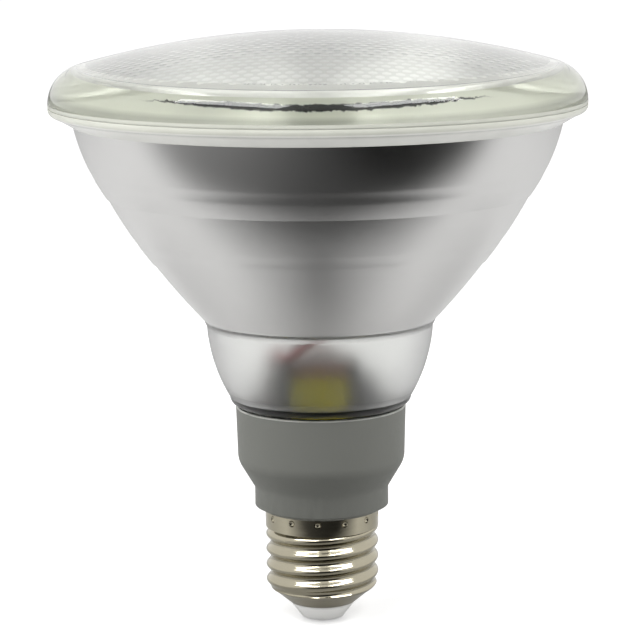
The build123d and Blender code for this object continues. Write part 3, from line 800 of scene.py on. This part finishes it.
innerMaterials = {name: innerFinish(name, look) for name, look in innerFinishes.items()}
innerMaterials["clear_silicone"] = packedSilicone
done = {
    "front_lens", "lens_seal", "glass_reflector",
    "base_collar", "screw_shell", "base_insulator", "centre_contact",
}
for row in frame["record"]["subparts"]:
    node, slot = row["node"], row["material_slot"]
    if node not in done:
        smoothCopy(node, node + "_shown", innerMaterials[slot], slot)
print("inner parts finished")


# Studio: white floor and world, two soft boxes at the sides and two strips above; the room and the
# floor on the viewer's side are dark for what metal and glass mirror, while the camera sees them white

studio = {
    "worldLight": 0.33, "roomFrom": 0.70, "roomFull": 0.84,
    "floorHalf": 8.0, "floorTone": 0.82, "floorLift": (0.45, 0.75), "liftReach": (0.3, 1.2),
    "darkFrom": -0.03, "darkFull": -0.09, "darkLeft": (-0.25, 0.20), "darkRight": (0.09, 0.0),
    # painted shadow under the lamp for what metal and glass mirror, and painted shade in front of it for
    # light bounced onto the lamp
    "paintedShadowSpot": {"place": -0.055, "reach": (0.08, 0.10), "core": 1.0, "depth": 0.88},
    "paintedShadeSpot": {"place": -0.09, "reach": (0.12, 0.085), "core": 0.6, "depth": 1.0},
}
sideBox = {"size": (0.6, 0.9), "aim": (0, 0, 0.07), "mirrored": False}  # leaves no patch on the metal
topStrip = {"size": (1.2, 0.28), "aim": (0, 0, 0.05), "mirrored": True}
boxes = {
    "box_left": {**sideBox, "at": (-0.75, -0.35, 0.55), "watts": 3.2},
    "box_right": {**sideBox, "at": (0.85, -0.15, 0.50), "watts": 1.8},
    "strip_left": {**topStrip, "at": (-0.72, -0.65, 1.35), "watts": 10.2},
    "strip_right": {**topStrip, "at": (0.72, -0.65, 1.35), "watts": 10.2},
}


def rayKinds(tree):
    # every kind of ray, and one for the rays that metal or glass sends on
    rays = tree.nodes.new("ShaderNodeLightPath").outputs
    return rays, maths(tree, "MAXIMUM", rays["Is Glossy Ray"], rays["Is Transmission Ray"])


def makeWorld(sizes):
    s = sizes
    world = bpy.data.worlds.new("studio")
    bpy.context.scene.world = world
    world.use_nodes = True
    tree = world.node_tree
    backdrop = tree.nodes["Background"]
    backdrop.inputs["Color"].default_value = (1, 1, 1, 1)
    rays, sentOn = rayKinds(tree)
    direct = maths(tree, "MAXIMUM", rays["Is Camera Ray"], sentOn)
    strength = spread(tree, direct, s["worldLight"], 1.0, 0.0, 1.0)
    ahead = axesOf(tree, "Generated")["Y"]
    room = spread(tree, ahead, 1.0, 0.0, -s["roomFull"], -s["roomFrom"])
    room = maths(tree, "MULTIPLY", room, rays["Is Glossy Ray"])
    strength = maths(tree, "MULTIPLY", strength, opposite(tree, room))
    tree.links.new(strength, backdrop.inputs["Strength"])


def darkSpot(tree, spot):
    # a soft oval of painted shade on the floor, one in its middle and nought at its edge
    coords = tree.nodes.new("ShaderNodeTexCoord")
    place = tree.nodes.new("ShaderNodeMapping")
    across, deep = spot["reach"]
    place.inputs["Location"].default_value = (0, -spot["place"] / deep, 0)
    place.inputs["Scale"].default_value = (1 / across, 1 / deep, 1)
    tree.links.new(coords.outputs["Object"], place.inputs["Vector"])
    fade = tree.nodes.new("ShaderNodeTexGradient")
    fade.gradient_type = "SPHERICAL"
    tree.links.new(place.outputs["Vector"], fade.inputs["Vector"])
    return spread(tree, fade.outputs["Fac"], 0.0, spot["depth"], 0.0, spot["core"])


def floorPaper(sizes):
    s = sizes
    paper, tree, shader = newFinish(
        "floor_paper", Roughness=0.9, Specular_IOR_Level=0.0, Emission_Color=(1, 1, 1, 1)
    )
    rays, sentOn = rayKinds(tree)
    seen = rays["Is Camera Ray"]
    axes = axesOf(tree)

    # dark in front for the room on the viewer's side, with a painted shadow under the lamp and painted shade
    # in front of it, each only for the rays that should find it dark
    front = spread(tree, axes["Y"], 1.0, 0.0, s["darkFull"], s["darkFrom"])
    foot = darkSpot(tree, s["paintedShadowSpot"])
    mirrored = maths(tree, "MULTIPLY", maths(tree, "MAXIMUM", front, foot), sentOn)
    soft = maths(tree, "MULTIPLY", darkSpot(tree, s["paintedShadeSpot"]), opposite(tree, sentOn))
    dark = maths(tree, "MULTIPLY", maths(tree, "ADD", mirrored, soft), opposite(tree, seen))
    # painted shade: the floor's dark tone is lighter towards the left
    (leftPlace, leftTone), (rightPlace, rightTone) = s["darkLeft"], s["darkRight"]
    shade = spread(tree, axes["X"], leftTone, rightTone, leftPlace, rightPlace)
    shade = maths(tree, "MULTIPLY", shade, opposite(tree, foot))
    tone = tree.nodes.new("ShaderNodeMix")
    tone.inputs["A"].default_value = s["floorTone"]
    tree.links.new(dark, tone.inputs["Factor"])
    tree.links.new(shade, tone.inputs["B"])
    tree.links.new(tone.outputs["Result"], shader.inputs["Base Color"])

    # white to the far edge, for the camera and through the glass
    coords = tree.nodes.new("ShaderNodeTexCoord")
    away = tree.nodes.new("ShaderNodeVectorMath")
    away.operation = "LENGTH"
    tree.links.new(coords.outputs["Object"], away.inputs[0])
    lift = spread(tree, away.outputs["Value"], *s["floorLift"], *s["liftReach"])
    lift = maths(tree, "MULTIPLY", lift, maths(tree, "MAXIMUM", seen, rays["Is Transmission Ray"]))
    lift = maths(tree, "MULTIPLY", lift, opposite(tree, dark))
    tree.links.new(lift, shader.inputs["Emission Strength"])
    return paper


def makeFloor(sizes):
    h = sizes["floorHalf"]
    mesh = bpy.data.meshes.new("floor")
    mesh.from_pydata([(-h, -h, 0), (h, -h, 0), (h, h, 0), (-h, h, 0)], [], [(0, 1, 2, 3)])
    mesh.materials.append(floorPaper(sizes))
    floor = bpy.data.objects.new("floor", mesh)
    bpy.context.scene.collection.objects.link(floor)


def makeLights(boxes):
    for name, box in boxes.items():
        lamp = bpy.data.lights.new(name, "AREA")
        lamp.shape = "RECTANGLE"
        lamp.size, lamp.size_y = box["size"]
        lamp.energy = box["watts"]
        holder = bpy.data.objects.new(name, lamp)
        holder.location = box["at"]
        holder.rotation_euler = (Vector(box["aim"]) - Vector(box["at"])).to_track_quat("-Z", "Y").to_euler()
        holder.visible_glossy = box["mirrored"]
        bpy.context.scene.collection.objects.link(holder)


makeWorld(studio)
makeFloor(studio)
makeLights(boxes)
print("studio ready")


# Camera: fitted to the photograph, with its slight roll

cameraSizes = {
    "distance": 577.0, "tilt": 10.1, "roll": 0.57, "aimHeight": 70.8, "lens": 141.0, "sensor": 36.0,
    "clip": (0.01, 50),
}


def makeCamera(sizes):
    s = sizes
    data = bpy.data.cameras.new("camera")
    data.sensor_width = s["sensor"]
    data.lens = s["lens"]
    data.clip_start, data.clip_end = s["clip"]
    camera = bpy.data.objects.new("camera", data)
    bpy.context.scene.collection.objects.link(camera)
    tilt = radians(s["tilt"])
    back = Vector((0, -cos(tilt), sin(tilt)))
    aim = (-back).to_track_quat("-Z", "Y").to_matrix()
    roll = Matrix.Rotation(radians(-s["roll"]), 3, "Z")
    camera.location = Vector((0, 0, s["aimHeight"] * mm)) + back * s["distance"] * mm
    camera.rotation_euler = (aim @ roll).to_euler()
    bpy.context.scene.camera = camera


makeCamera(cameraSizes)
bpy.context.scene.view_settings.view_transform = "Standard"
print("camera set")
